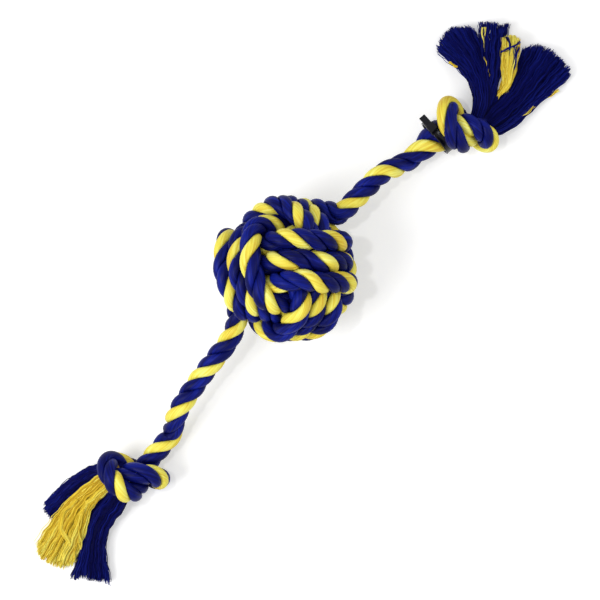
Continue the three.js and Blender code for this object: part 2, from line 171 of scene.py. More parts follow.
right_locks = [
    dict(
        name="blue_lock_1",
        course=[
            (160, -23, 15, 5, 5), (171.8, -17.4, 14.5, 6.4, 6.5), (178.7, -8.3, 12.5, 7, 6.5),
            (182.5, -1, 10, 8, 6), (186.5, 9.5, 8, 11, 5.5), (190.5, 30.5, 6, 16.5, 4.5),
        ],
        trim=(9, 9),
        wisps=[
            (
                [
                    (166, -23, 14, 4, 4), (180, -15, 12.5, 5.5, 5), (192, -6, 11, 7, 5),
                    (202.5, 4, 9.5, 9, 5), (213.5, 12.5, 7.5, 11, 4.5),
                ],
                330,
            ),
            ([(196, -20, 14.5, 0.8, 0.6), (204, -14.5, 16, 0.9, 0.6), (213, -9, 15, 1.4, 0.6)], 22),
            ([(204, -12, 15, 0.3, 0.3), (209, -6, 16, 0.4, 0.3), (213, 0.5, 14.5, 0.7, 0.4)], 9),
            ([(202, -3.5, 15, 0.3, 0.3), (208, -6.5, 16, 0.4, 0.3), (216, -8, 15, 0.7, 0.4)], 9),
        ],
    ),
    dict(
        name="yellow_lock",
        course=[
            (160, -25, 10, 3, 3), (170, -24.5, 9, 3, 3), (180.5, -23.3, 11.5, 2.2, 3),
            (190.5, -21.5, 13.5, 3.2, 3), (198, -15, 13.5, 4.6, 2.8), (206.5, -8, 12.5, 5.6, 2.6),
            (214.5, -2, 11.5, 6.4, 2.5),
        ],
        trim=(3, 3),
        wisps=[
            ([(196, 4, 11, 0.8, 0.6), (201.5, 9.5, 12.5, 1.6, 0.8), (207, 15.5, 11.5, 2, 0.8)], 40),
            (
                [
                    (184, -13, 15.5, 0.3, 0.3), (189, -4.5, 15.5, 0.6, 0.4),
                    (192.5, 2, 13.5, 0.3, 0.3),
                ],
                7,
            ),
            ([(172, -40.5, 12, 0.8, 0.8), (182, -43, 12.5, 1.4, 1), (192, -44, 11, 0.6, 0.8)], 40),
            ([(203, -47, 8, 0.4, 0.4), (212, -49, 7.5, 0.6, 0.5)], 9),
            (
                [
                    (176.2, 10.5, 10.5, 0.6, 0.6), (175.2, 13.5, 10, 1.2, 0.8),
                    (174.4, 17, 9, 0.8, 0.6),
                ],
                20,
            ),
        ],
    ),
    dict(
        name="blue_lock_2",
        course=[
            (156, -30, 15, 6, 6), (166, -32, 14.5, 11, 7), (176, -33, 12, 12, 6.5),
            (190, -33.5, 9.5, 12, 6), (206, -31.5, 8, 15.5, 5), (226.5, -29, 6, 20, 4.5),
        ],
        trim=(9, 3),
        wisps=[],
    ),
]

# The rope as drawn, finer than in the part's source
curve_steps = 60
rope_step = 1.6 * MM
rope_rounding = 3 * MM
bell_reach = 3
rope_end_share = 0.3
rope_end_length = 14 * MM
floor_rest = 0.1 * MM
drawn_lay = 30 * MM
lead_reach = 5
yarn_turn_share = 0.85
weld = 1e-7

# The neck, where the rope bulges by the tie
gather_past = 8 * MM
flare_reach = 11 * MM
flare_radius = 10.6 * MM

# How far the yellow strand is turned ahead of an even lay: distance in mm, degrees
yellow_lead = [
    (0, 240), (24, 240), (34, 140), (45, 168), (86, 300), (112, 190), (122, 165), (130, 212),
    (137, 168), (178, 195), (216, 148), (246, 139), (278, 97), (369, 70), (406, 61), (582, 52),
    (611, 42), (816, 138), (846, 129), (989, 92), (1027, 17), (1229, 103), (1266, 29),
    (1457, 199), (1496, 88), (1708, 186), (1751, 70), (1841, 87), (1866, 78), (1928, 65),
    (2155, 251), (2341, 220), (2371, 207), (2406, 126), (2442, 92), (2462, 150), (2473, 105),
    (2481, 40), (2511, 200), (2523, 130), (2534, 22), (2592, -184),
]

# A strand's outline, in degrees and shares of the rope's radius
crown_points = 15
crown_edge = 58.5
crown_foot = 60
strand_floor = 0.58
inside_angles = [50, 0, -50]
inside_reach = [0.12, 0.02, 0.12]

# Where, inside the fist, the fist's piece of rope meets the roots' pieces
root_inside = 11 * MM

# Loose yarn
yarns_per_lock = 900
yarn_steps = 14
yarn_sides = 3
yarn_radius = 0.33 * MM
course_step = 1.5 * MM
course_rounding = 4 * MM
course_rounding_share = 0.2
straight_steps = 5
clump_count = 40
clump_edge = 0.95
clump_lengths = (0.96, 1.03)
clump_tones = (0.3, 0.7)
clump_pull = 0.3
clump_gather = 0.7
clump_rise = 0.12
wisp_clumps = 3
yarns_per_wisp_clump = 30
crowding = 0.45
yarn_lengths = (0.97, 1.01)
yarn_taper = 0.35
yarn_spin = 2
crimp_length = 13 * MM
crimp = 0.5 * MM
stray = 0.8 * MM
stray_room = 6 * MM
stray_rise = 0.5
wander = 0.25 * MM
wander_waves = (1, 4)
wander_most = 2
wave_start = 3
tone_spread = 0.27
tip_bright = 0.3
pattern_shift = 0.1

# The cable tie
tie_width = 4.8 * MM
tie_thickness = 1.3 * MM
tie_clearance = 0.4 * MM
tie_rim = 0.8 * MM
tie_rim_foot = 1.3
tie_groove = 0.15 * MM
tie_edge = 0.2 * MM
strap_steps = 96
strap_weld = 1e-6
strap_corner = 0.6
tie_head_length = 6.5 * MM
tie_head_width = 6.4 * MM
tie_head_height = 4.4 * MM
tie_head_sink = 0.6 * MM
tie_head_turn = 60
tie_head_taper = (0.86, 1, 0.9)
tie_head_wall = 1.1 * MM
tie_head_hollow = 1.4 * MM
tie_head_edge = 0.3 * MM
tie_head_corner = 0.5
tie_head_end = 0.8
tie_tail_length = 8 * MM
tie_tail_thickness = tie_thickness * 0.8
tie_tail_width = tie_width * 0.94
tie_tail_edge = 0.25 * MM
tie_teeth = 6
tooth_pitch = 1.1 * MM
tooth_length = tooth_pitch * 0.55
tooth_height = tie_thickness * 0.4
tooth_width = tie_width * 0.6
tooth_sink = tie_thickness * 0.45
tooth_edge = 0.1 * MM

# The studio
floor_size = 4
floor_drop = 0.2 * MM
floor_glow = 0.3
world_light = 0.45


def direction(degrees, slope=0.0):
    """The way at these degrees from +X, seen from above, and down by the slope's degrees."""
    flat = math.cos(math.radians(slope))
    turn = math.radians(degrees)
    return np.array([flat * math.cos(turn), flat * math.sin(turn), -math.sin(math.radians(slope))])


def unit(v):
    return v / np.linalg.norm(v, axis=-1, keepdims=True)


def smoothstep(x):
    x = np.clip(x, 0, 1)
    return x * x * (3 - 2 * x)


# Routes

def measure(route):
    """The distance along a route at each of its points, whose places are its first columns."""
    steps = np.linalg.norm(np.diff(route[:, :3], axis=0), axis=1)
    return np.concatenate([[0], np.cumsum(steps)])


def places_at(route, distances):
    """The route's rows at these distances along it."""
    along = measure(route)
    return np.stack([np.interp(distances, along, column) for column in route.T], 1)


def evenly(route, step):
    """The route in even steps, as near to this one as its length allows."""
    long = measure(route)[-1]
    count = max(1, round(long / step))
    return places_at(route, np.linspace(0, long, count + 1))


def set_apart(route, inner):
    """Pushes touching turns towards a squeezed diameter apart, and out of the ball inside."""
    index = np.arange(len(route))
    across = route[:, None] - route[None]
    apart = np.linalg.norm(across, axis=2) + 1e-12
    far = np.abs(index[:, None] - index[None]) > neighbour_steps
    share = np.where(far & (apart < squeezed_diameter), (squeezed_diameter - apart) / apart / 2, 0)
    touches = np.maximum(1, (share > 0).sum(1) * contact_share)
    pushed = route + (across * share[:, :, None]).sum(1) / touches[:, None]
    if inner:
        out = np.linalg.norm(pushed, axis=1, keepdims=True)
        pushed = np.where(out < inner, pushed * inner / out, pushed)
    pushed[[0, -1]] = route[[0, -1]]
    return pushed


def draw_tight(loose, rounds, pull, inner, shell):
    """Draws a loose route tight between its fixed ends, as in the part's source."""
    route = loose
    for number in range(rounds):
        if number % even_out_every == 0:
            route = evenly(route, route_step)
        last = len(route) - 1
        share = pull * (1 - number / rounds)
        drawn = route.copy()
        drawn[1:-1] += ((route[:-2] + route[2:]) / 2 - route[1:-1]) * share
        route = drawn
        if shell:
            index = np.arange(last + 1)
            out = np.linalg.norm(route, axis=1)
            in_fist = np.minimum(index, last - index) * route_step > free_end
            pressed = 1 - press_share * (out - shell) / out
            route = np.where((in_fist & (out > shell))[:, None], route * pressed[:, None], route)
        for _ in range(contact_passes):
            route = set_apart(route, inner)
    return evenly(route, route_step)


def super_loop(angle, long, short):
    """A point of a loop between an ellipse and a rectangle."""
    c, s = math.cos(angle), math.sin(angle)
    total = abs(c / long) ** loop_squareness + abs(s / short) ** loop_squareness
    out = total ** (-1 / loop_squareness)
    return out * c, out * s


outer_turn = fist_radius - rope_diameter / 2
inner_turn = inner_turn_radius - rope_diameter / 2


def loose_fist():
    """Three bands of three passes, each band square to the other two."""
    route = []
    turn_steps = round(2 * math.pi * outer_turn / route_step)
    for band in range(bands):
        for i in range(passes * turn_steps):
            turns = i / turn_steps
            lap = math.floor(turns)
            late = (turns - lap - drift_start_share) / (1 - drift_start_share)
            drift = float(smoothstep(late)) if lap < passes - 1 else 0
            place = lap - (passes - 1) / 2 + drift
            p, q = super_loop(
                math.radians(band_starts[band]) + 2 * math.pi * turns,
                outer_turn * (1 - (1 - side_outer_share) * place * place),
                inner_turn * (1 - (1 - side_inner_share) * place * place),
            )
            offset = place * rope_diameter
            route.append([(p, q, offset), (offset, p, q), (q, offset, p)][band])
    return np.array(route)


def turned(degrees, axis):
    return np.array(Matrix.Rotation(math.radians(degrees), 3, axis))


# Turned so that an edge of the cube that the bands make points up
half_root = math.sqrt(0.5)
edge_up = np.array([[half_root, half_root, 0], [0, 0, 1], [half_root, -half_root, 0]])
attitude = turned(fist_roll, "Z") @ turned(fist_tilt, "X") @ turned(fist_spin, "Y") @ edge_up
left_out = direction(left_arm_heading, arm_slope)
right_out = direction(right_arm_heading, arm_slope)
drop = np.array([0, 0, exit_drop])
left_exit = direction(left_arm_heading) * exit_reach - drop
right_exit = direction(right_arm_heading) * exit_reach - drop
wound = draw_tight(
    np.vstack([left_exit, loose_fist() @ attitude.T, right_exit]),
    fist_rounds,
    fist_pull_share,
    inner_turn,
    outer_turn,
)
lowest = wound[np.argmin(wound[:, 2])]
on_flat = np.array([-lowest[0], -lowest[1], 0])
fist_centre = np.array([0, 0, tube_radius - floor_cut - lowest[2]]) + on_flat
wound = wound + fist_centre
left_root = wound[0] + left_out * 2 * tube_radius
right_root = wound[-1] + right_out * 2 * tube_radius


def loose_knot():
    """An overhand knot, from the polynomial curve of an open trefoil."""
    t = knot_range * np.linspace(-1, 1, 2 * knot_loose_steps + 1)
    x = knot_width * (t**3 - 3 * t)
    y = knot_height * (t**4 - 4 * t**2 + 2)
    z = knot_rise * (t**5 - 10 * t)
    return np.vstack([[0, 0, -knot_tail], np.stack([x, y, z], 1), [0, 0, knot_tail]])


tight_knot = draw_tight(loose_knot(), knot_rounds, knot_pull_share, 0, 0)


def lay_knot(place, heading, roll):
    """A knot on the floor: its near end, its turns and its far end."""
    z = tight_knot[:, 2]
    first = np.argmax(z > 2 * tube_radius - knot_near_face)
    last = len(z) - 1 - np.argmax(z[::-1] < knot_far_face - 2 * tube_radius)
    near = [*tight_knot[first][:2], -knot_near_face]
    far = [*tight_knot[last][:2], knot_far_face]
    route = np.vstack([near, tight_knot[first : last + 1], far])
    turn = turned(heading, "Z") @ turned(roll, "X") @ turned(90, "Y")
    route = route @ turn.T
    low = route[:, 2].min()
    return route + np.array([*(np.array(place) * MM), tube_radius - floor_cut - low]) + on_flat


left_knot = lay_knot(**left_knot_lie)
right_knot = lay_knot(**right_knot_lie)
tie_middle = np.array([*tie_place, tie_lift]) * MM + on_flat
tie_out = direction(tie_heading)
neck_start = tie_middle - tie_out * gather_length


def curve_through(points, step):
    """A centripetal spline through the points, in even steps."""
    points = [np.array(p, float) for p in points]
    ends = [2 * points[0] - points[1], *points, 2 * points[-1] - points[-2]]
    fine = []
    for k in range(len(points) - 1):
        a, b, c, d = ends[k : k + 4]
        ta, tb, tc = (math.sqrt(np.linalg.norm(q - p)) for p, q in ((a, b), (b, c), (c, d)))
        m1 = ((b - a) / ta - (c - a) / (ta + tb) + (c - b) / tb) * tb
        m2 = ((c - b) / tb - (d - b) / (tb + tc) + (d - c) / tc) * tb
        t = np.linspace(0, 1, curve_steps, endpoint=k == len(points) - 2)[:, None]
        square = 3 * (c - b) - 2 * m1 - m2
        cube = 2 * (b - c) + m1 + m2
        fine.append(b + m1 * t + square * t**2 + cube * t**3)
    return evenly(np.vstack(fine), step)


def arm_route(root, out, points, knot_end, knot_in):
    """The arm's centre line from the winding's end to its knot."""
    root_end = root + out * (joint_gap + root_length)
    first = root_end + out * joint_gap
    led_out = first + out * 2 * tube_radius
    led_in = knot_end - knot_in * (joint_gap + 2 * tube_radius)
    places = [np.array(p) * MM + on_flat for p in points]
    between = curve_through([led_out, *places, led_in], route_step)
    return np.vstack([root, first, between, knot_end])


def smoothed(route, step, spread):
    """The route in even steps, its corners rounded off, with its ends kept."""
    fine = evenly(route, step)
    reach = int(bell_reach * spread / step)
    bell = np.exp(-0.5 * (np.arange(-reach, reach + 1) * step / spread) ** 2)
    before = 2 * fine[0] - fine[reach:0:-1]
    after = 2 * fine[-1] - fine[-2 : -reach - 2 : -1]
    padded = np.vstack([before, fine, after])
    return np.stack([np.convolve(column, bell / bell.sum(), "valid") for column in padded.T], 1)


left_knot_in = unit(left_knot[1] - left_knot[0])
left_arm = arm_route(left_root, left_out, left_arm_points, left_knot[0], left_knot_in)
right_arm = arm_route(right_root, right_out, right_arm_points, neck_start, tie_out)
past_tie = (right_knot - tie_middle) @ tie_out > gather_past
whole = np.vstack([
    left_knot[::-1],
    left_arm[::-1][1:],
    wound[1:],
    right_arm,
    tie_middle,
    right_knot[np.argmax(past_tie):],
])
rope_line = smoothed(whole, rope_step, rope_rounding)
rope_along = measure(rope_line)


def nearest(place):
    return int(np.argmin(np.linalg.norm(rope_line - place, axis=1)))


# Camera: straight above, the toy lying from lower left to upper right of the frame

camera_turn = 46.5
frame_width = 390 * MM
sensor_width = 36
aim = Vector((-12.7 * MM, -32.4 * MM, 42 * MM))
camera_height = 1.5

camera_data = bpy.data.cameras.new("camera")
camera = bpy.data.objects.new("camera", camera_data)
bpy.context.scene.collection.objects.link(camera)
camera.location = aim + Vector((0, 0, camera_height))
camera.rotation_euler = (0, 0, -math.radians(camera_turn))
camera_data.sensor_width = sensor_width
camera_data.lens = sensor_width * camera_height / frame_width
bpy.context.scene.camera = camera


# Materials

def srgb(r, g, b):
    """A colour as a screen shows it, 0 to 255, in the shader's own numbers."""

    def linear(c):
        c = c / 255
        return c / 12.92 if c <= 0.04045 else ((c + 0.055) / 1.055) ** 2.4

    return (linear(r), linear(g), linear(b), 1)


# Streaks: how many to a metre across the yarns, how many along them, and their detail
yarn_streaks = (900, 45, 2.0)
fibre_streaks = (3200, 160, 3.0)
patch_streaks = (110, 30, 1.0)
thread_streaks = (1500, 120, 2.0)

# The levels at which a finish shows its painted shade, its plain colour and its painted highlight
cotton_levels = (0.34, 0.5, 0.66)
thread_levels = (0.1, 0.5, 0.9)
black = (0, 0, 0, 1)
white = (1, 1, 1, 1)


class Finish:
    """A node material, its shader's fixed sockets set by name."""

    def __init__(self, name, **sockets):
        self.material = bpy.data.materials.new(name)
        self.material.use_nodes = True
        self.nodes = self.material.node_tree.nodes
        self.links = self.material.node_tree.links
        self.shader = self.nodes["Principled BSDF"]
        for socket, value in sockets.items():
            self.shader.inputs[socket.replace("_", " ")].default_value = value

    def node(self, kind, **inputs):
        made = self.nodes.new(kind)
        for socket, value in inputs.items():
            self.feed(made.inputs[socket.replace("_", " ")], value)
        return made

    def feed(self, socket, value):
        if isinstance(value, bpy.types.NodeSocket):
            self.links.new(value, socket)
        else:
            socket.default_value = value

    def blend_colours(self, factor, low, high):
        ramp = self.nodes.new("ShaderNodeValToRGB")
        ramp.color_ramp.elements[0].position = low[0]
        ramp.color_ramp.elements[0].color = low[1]
        ramp.color_ramp.elements[1].position = high[0]
        ramp.color_ramp.elements[1].color = high[1]
        self.feed(ramp.inputs[0], factor)
        return ramp.outputs[0]

    def maths(self, operation, a, b):
        made = self.nodes.new("ShaderNodeMath")
        made.operation = operation
        self.feed(made.inputs[0], a)
        self.feed(made.inputs[1], b)
        return made.outputs[0]

    def blend_values(self, a, share_a, b, share_b):
        shares = (self.maths("MULTIPLY", a, share_a), self.maths("MULTIPLY", b, share_b))
        return self.maths("ADD", *shares)

    def streaks(self, across, along, detail):
        """Noise drawn out along the yarns of the piece's yarn map."""
        uv = self.node("ShaderNodeUVMap")
        uv.uv_map = "yarn"
        place = self.node("ShaderNodeMapping", Vector=uv.outputs[0], Scale=(across, along, 1))
        noise = self.node("ShaderNodeTexNoise", Vector=place.outputs[0], Scale=1.0, Detail=detail)
        noise.noise_dimensions = "2D"
        return noise.outputs[0]

    def three_tones(self, level, levels, painted_shade, plain, painted_highlight):
        """The base colour, from a painted shade through the plain colour to a painted highlight as
        the level rises.
        """
        lower = self.blend_colours(level, (levels[0], painted_shade), (levels[1], plain))
        upper = self.blend_colours(level, (levels[1], black), (levels[2], white))
        mix = self.nodes.new("ShaderNodeMix")
        mix.data_type = "RGBA"
        self.feed(mix.inputs["Factor"], upper)
        self.feed(mix.inputs[6], lower)
        self.feed(mix.inputs[7], painted_highlight)
        self.links.new(mix.outputs[2], self.shader.inputs["Base Color"])

    def mottle(self, scale, detail, low, high):
        """The base colour, mottled between two others all through the piece."""
        place = self.node("ShaderNodeTexCoord")
        grain = self.node(
            "ShaderNodeTexNoise", Vector=place.outputs["Object"], Scale=scale, Detail=detail
        )
        colour = self.blend_colours(grain.outputs[0], low, high)
        self.links.new(colour, self.shader.inputs["Base Color"])
        return grain.outputs[0]

    def bump(self, height, strength, distance):
        made = self.node("ShaderNodeBump", Height=height, Strength=strength, Distance=distance)
        self.links.new(made.outputs[0], self.shader.inputs["Normal"])


def cotton(name, painted_shade, plain, painted_highlight, gloss):
    """Soft twisted yarn: fine streaks along the yarns, with painted shade in the grooves between
    them, painted highlights on their crests and patches of tone at random.
    """
    finish = Finish(name, Roughness=0.4, Specular_IOR_Level=gloss)
    yarns = finish.streaks(*yarn_streaks)
    fibres = finish.streaks(*fibre_streaks)
    patches = finish.streaks(*patch_streaks)
    height = finish.blend_values(yarns, 0.7, fibres, 0.3)
    # The colour follows the bump: painted shade where it is low, painted highlight where it is
    # high, with patches at random
    tone = finish.blend_values(height, 0.6, patches, 0.4)
    finish.three_tones(tone, cotton_levels, painted_shade, plain, painted_highlight)
    finish.bump(height, strength=0.5, distance=0.3 * MM)
    return finish.material


def tassel_yarn(name, painted_shade, plain, painted_highlight, gloss):
    """Loose yarn, each thread its own tone of the colour at random, from a painted shade to a
    painted highlight.
    """
    finish = Finish(name, Roughness=0.5, Specular_IOR_Level=gloss)
    tone = finish.node("ShaderNodeAttribute")
    tone.attribute_name = "tone"
    threads = finish.streaks(*thread_streaks)
    level = finish.blend_values(tone.outputs["Fac"], 0.7, threads, 0.3)
    finish.three_tones(level, thread_levels, painted_shade, plain, painted_highlight)
    finish.bump(threads, strength=0.4, distance=0.15 * MM)
    return finish.material


# Painted shade, plain colour and painted highlight, of the rope's cotton and of the tassels' yarn
blues = (srgb(7, 9, 60), srgb(10, 17, 94), srgb(22, 36, 144))
yellows = (srgb(222, 184, 52), srgb(244, 230, 84), srgb(255, 254, 142))
yarn_blues = (srgb(5, 5, 48), srgb(9, 13, 88), srgb(24, 36, 136))
yarn_yellows = (srgb(184, 140, 28), srgb(238, 208, 60), srgb(255, 250, 126))
blue_cotton = cotton("blue cotton", *blues, gloss=0.08)
yellow_cotton = cotton("yellow cotton", *yellows, gloss=0.2)
blue_yarn = tassel_yarn("blue tassel yarn", *yarn_blues, gloss=0.05)
yellow_yarn = tassel_yarn("yellow tassel yarn", *yarn_yellows, gloss=0.1)


def nylon():
    """Moulded black nylon, with a satin gloss."""
    finish = Finish("black nylon", Roughness=0.2, Specular_IOR_Level=0.2)
    low, high = (0.35, srgb(5, 5, 10)), (0.7, srgb(14, 13, 24))
    grain = finish.mottle(scale=900.0, detail=2.0, low=low, high=high)
    finish.bump(grain, strength=0.08, distance=0.05 * MM)
    return finish.material


def rubber():
    """The core's plain grey rubber."""
    finish = Finish("core rubber", Roughness=0.75, Specular_IOR_Level=0.3)
    low, high = (0.3, srgb(30, 30, 34)), (0.7, srgb(52, 52, 56))
    grain = finish.mottle(scale=700.0, detail=3.0, low=low, high=high)
    finish.bump(grain, strength=0.2, distance=0.2 * MM)
    return finish.material


black_nylon = nylon()
core_rubber = rubber()


# Pieces

def finished(mesh, name, material, smooth=True):
    """A bmesh as an object of the scene, in its material."""
    data = bpy.data.meshes.new(name)
    mesh.to_mesh(data)
    mesh.free()
    data.materials.append(material)
    made = bpy.data.objects.new(name, data)
    bpy.context.scene.collection.objects.link(made)
    if smooth:
        data.shade_smooth()
    return made


def skins(name, rings, across, along, material, tones=None):
    """A piece of closed skins through rings of points, with a yarn map in metres.

    One grid holds all the skins, a row between each and the next taken out. Its points are
    then moved to the rings, its seams are joined and its ends are filled.
    """
    count, steps, sides = rings.shape[:3]
    rows = count * (sides + 1)
    mesh = bmesh.new()
    bmesh.ops.create_grid(mesh, x_segments=steps - 1, y_segments=rows - 1, size=1)
    between = [
        face
        for face in mesh.faces
        if (face.calc_center_median().y + 1) / 2 * (rows - 1) % (sides + 1) > sides
    ]
    bmesh.ops.delete(mesh, geom=between, context="FACES")
    data = bpy.data.meshes.new(name)
    mesh.to_mesh(data)
    flat = np.empty(len(data.vertices) * 3, np.float32)
    data.vertices.foreach_get("co", flat)
    flat = flat.reshape(-1, 3)
    step = np.rint((flat[:, 0] + 1) / 2 * (steps - 1)).astype(int)
    row = np.rint((flat[:, 1] + 1) / 2 * (rows - 1)).astype(int)
    skin, side = row // (sides + 1), row % (sides + 1)
    data.vertices.foreach_set("co", rings[skin, step, side % sides].astype(np.float32).ravel())
    corner = np.empty(len(data.loops), np.int32)
    data.loops.foreach_get("vertex_index", corner)
    places = np.stack([across[skin, step, side], along[skin, step]], 1)[corner]
    data.uv_layers.new(name="yarn").data.foreach_set("uv", places.astype(np.float32).ravel())
    if tones is not None:
        tone = data.attributes.new("tone", "FLOAT", "POINT")
        tone.data.foreach_set("value", tones[skin, step].astype(np.float32))
    mesh.clear()
    mesh.from_mesh(data)
    bpy.data.meshes.remove(data)
    bmesh.ops.remove_doubles(mesh, verts=mesh.verts, dist=weld)
    ends = [edge for edge in mesh.edges if edge.is_boundary]
    bmesh.ops.holes_fill(mesh, edges=ends, sides=sides)
    for edge in ends:
        edge.smooth = False
    bmesh.ops.recalc_face_normals(mesh, faces=mesh.faces)
    return finished(mesh, name, material)


# The rope: one line from knot to knot, its three strands laid right-handed round it

first_side = np.array([0.3, 0.2, 1.0])


def frames_along(line):
    """Two directions square to the line, carried along it with no turn of their own."""
    ahead = unit(np.gradient(line, axis=0))
    across = np.zeros_like(line)
    side = first_side
    for i, way in enumerate(ahead):
        side = unit(side - way * (side @ way))
        across[i] = side
    return across, np.cross(ahead, across)


rope_across, rope_over = frames_along(rope_line)

upward = np.array([0, 0, 1])
lead_along, lead_turn = zip(*((along * MM, math.radians(turn)) for along, turn in yellow_lead))
lead = np.interp(rope_along, lead_along, lead_turn)
lead_window = 2 * lead_reach + 1
even_weights = np.full(lead_window, 1 / lead_window)
lead = np.convolve(np.pad(lead, lead_reach, "edge"), even_weights, "valid")
yellow_turn = 2 * math.pi * rope_along / drawn_lay + lead

rope_radius = np.full(len(rope_line), rope_diameter / 2)
tie_along = rope_along[nearest(tie_middle)]
flare = np.exp(-(((rope_along - tie_along) / flare_reach) ** 2))
rope_radius += (flare_radius - rope_diameter / 2) * flare
to_end = np.minimum(rope_along, rope_along[-1] - rope_along)
rope_radius *= rope_end_share + (1 - rope_end_share) * smoothstep(to_end / rope_end_length)


def strand_section():
    """A strand's outline round the rope's axis: its crowned outside, then its hidden inside."""
    angles = np.radians(np.linspace(-crown_edge, crown_edge, crown_points))
    crown = np.sqrt(1 - np.clip(np.abs(angles) / math.radians(crown_foot), 0, 1) ** 2)
    reach = strand_floor + (1 - strand_floor) * crown
    inside = np.radians(inside_angles)
    return np.concatenate([angles, inside]), np.concatenate([reach, inside_reach])


section_angles, section_reach = strand_section()


def rope_piece(name, first, last, numbers, material):
    """Strands of the rope between two points of its line; number 0 is the yellow one."""
    span = slice(first, last + 1)
    turn = yellow_turn[span] + np.array(numbers)[:, None] * 2 * math.pi / 3
    angle = turn[..., None] + section_angles
    out = (rope_radius[span, None] * section_reach)[None]
    rings = (
        rope_line[span][:, None]
        + (out * np.cos(angle))[..., None] * rope_across[span][:, None]
        + (out * np.sin(angle))[..., None] * rope_over[span][:, None]
    )
    rings[..., 2] = np.maximum(rings[..., 2], floor_rest)
    around = np.append(section_angles, section_angles[0] + 2 * math.pi)
    across = (around + yarn_turn_share * turn[..., None]) * rope_diameter / 2
    along = np.tile(rope_along[span], (len(numbers), 1))
    return skins(name, rings, across, along, material)


def stretch(name, first, last):
    """A stretch of the rope: a piece of its two blue strands and one of its yellow strand."""
    blue = rope_piece(f"{name}_blue_strands", first, last, (1, 2), blue_cotton)
    yellow = rope_piece(f"{name}_yellow_strand", first, last, (0,), yellow_cotton)
    return blue, yellow


left_mid = nearest(left_root + left_out * root_length / 2)
left_inside = nearest(left_root - left_out * root_inside)
right_inside = nearest(right_root - right_out * root_inside)
right_mid = nearest(right_root + right_out * root_length / 2)
rope_end = len(rope_line) - 1

left_rope = stretch("left_rope", 0, left_mid)
right_rope = stretch("right_rope", right_mid, rope_end)
left_bend = stretch("left_root", left_mid, left_inside)
right_bend = stretch("right_root", right_inside, right_mid)
fist_rope = stretch("fist", left_inside, right_inside)

for piece in fist_rope:
    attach(piece, "fist")
for side, root, out, rope, bend in (
    ("left", left_root, left_out, left_rope, left_bend),
    ("right", right_root, right_out, right_rope, right_bend),
):
    # The roots' and arms' pieces, their placings baked into their meshes, and the parts they stand
    # for hidden
    for piece in bend:
        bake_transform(piece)
    for piece in rope:
        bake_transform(piece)
    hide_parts(f"{side}_arm_root")
    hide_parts(f"{side}_arm_blue_strand_1", f"{side}_arm_blue_strand_2", f"{side}_knot")
    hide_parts(f"{side}_arm_yellow_strand")
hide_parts("fist_winding")


# The tassels: each strand opened into loose yarn past its knot

def bundle(course, count, trim, clump_number):
    """The middle lines of a bundle's yarns, along its course on the floor, and their tones."""
    course = np.array(course) * MM
    reach = min(course_rounding, course_rounding_share * measure(course)[-1])
    course = smoothed(course, course_step, reach)
    course[:, :2] += on_flat[:2]
    long = measure(course)[-1]
    straight_on = 2 * course[-1] - course[-1 - straight_steps]
    course = np.vstack([course, straight_on])
    clumps = rng.uniform(-1, 1, (clump_number, 2))
    clumps /= np.maximum(1, np.linalg.norm(clumps, axis=1) / clump_edge)[:, None]
    clump_length = rng.uniform(*clump_lengths, clump_number)
    clump_tone = rng.uniform(*clump_tones, clump_number)
    clump_wave = rng.uniform(0, 2 * math.pi, clump_number)
    clump_height = rng.uniform(-1, 1, clump_number) * clump_rise
    grown = np.linspace(0, 1, yarn_steps + 1)
    lines, tones = [], []
    for _ in range(count):
        turn = rng.uniform(0, 2 * math.pi)
        out = rng.uniform(0, 1) ** crowding
        home = np.array([math.cos(turn), math.sin(turn)]) * out
        clump = int(np.argmin(np.linalg.norm(clumps - home, axis=1)))
        pull = clump_pull * grown[:, None] ** clump_gather
        place = home * (1 - pull) + clumps[clump] * pull
        place[:, 1] += clump_height[clump] * grown
        short = trim[0] * MM if home[0] > 0 else trim[1] * MM
        cut = clump_length[clump] * rng.uniform(*yarn_lengths) - short / long * home[0] ** 2
        way = places_at(course, grown * cut * long)
        flat = unit(np.gradient(way[:, :2], axis=0))
        side = np.stack([-flat[:, 1], flat[:, 0], np.zeros(len(flat))], 1)
        line = way[:, :3] + side * (place[:, 0] * way[:, 3])[:, None]
        line[:, 2] += place[:, 1] * way[:, 4]
        freed = smoothstep(grown * wave_start)
        wave = np.sin(2 * math.pi * grown * cut * long / crimp_length + clump_wave[clump])
        line += side * (wave * crimp * freed)[:, None]
        bend = np.sin(rng.uniform(*wander_waves) * math.pi * grown + rng.uniform(0, 2 * math.pi))
        line += side * (bend * wander * freed * rng.uniform(0, wander_most))[:, None]
        room = np.minimum(1, way[:, 3] / stray_room)
        sway = rng.normal(0, stray, 2) * (room * smoothstep(grown) ** 2)[:, None]
        line += side * sway[:, :1] + upward * sway[:, 1:] * stray_rise
        line[:, 2] = np.maximum(line[:, 2], yarn_radius)
        lines.append(line)
        # Each thread's tone at random, over its yarn's painted shade, plain colour and painted
        # highlight, and lighter towards the tips
        tone = clump_tone[clump] + rng.normal(0, tone_spread)
        tone = tone + tip_bright * grown**3 - tip_bright / 3
        tones.append(np.clip(tone, 0, 1))
    return lines, tones


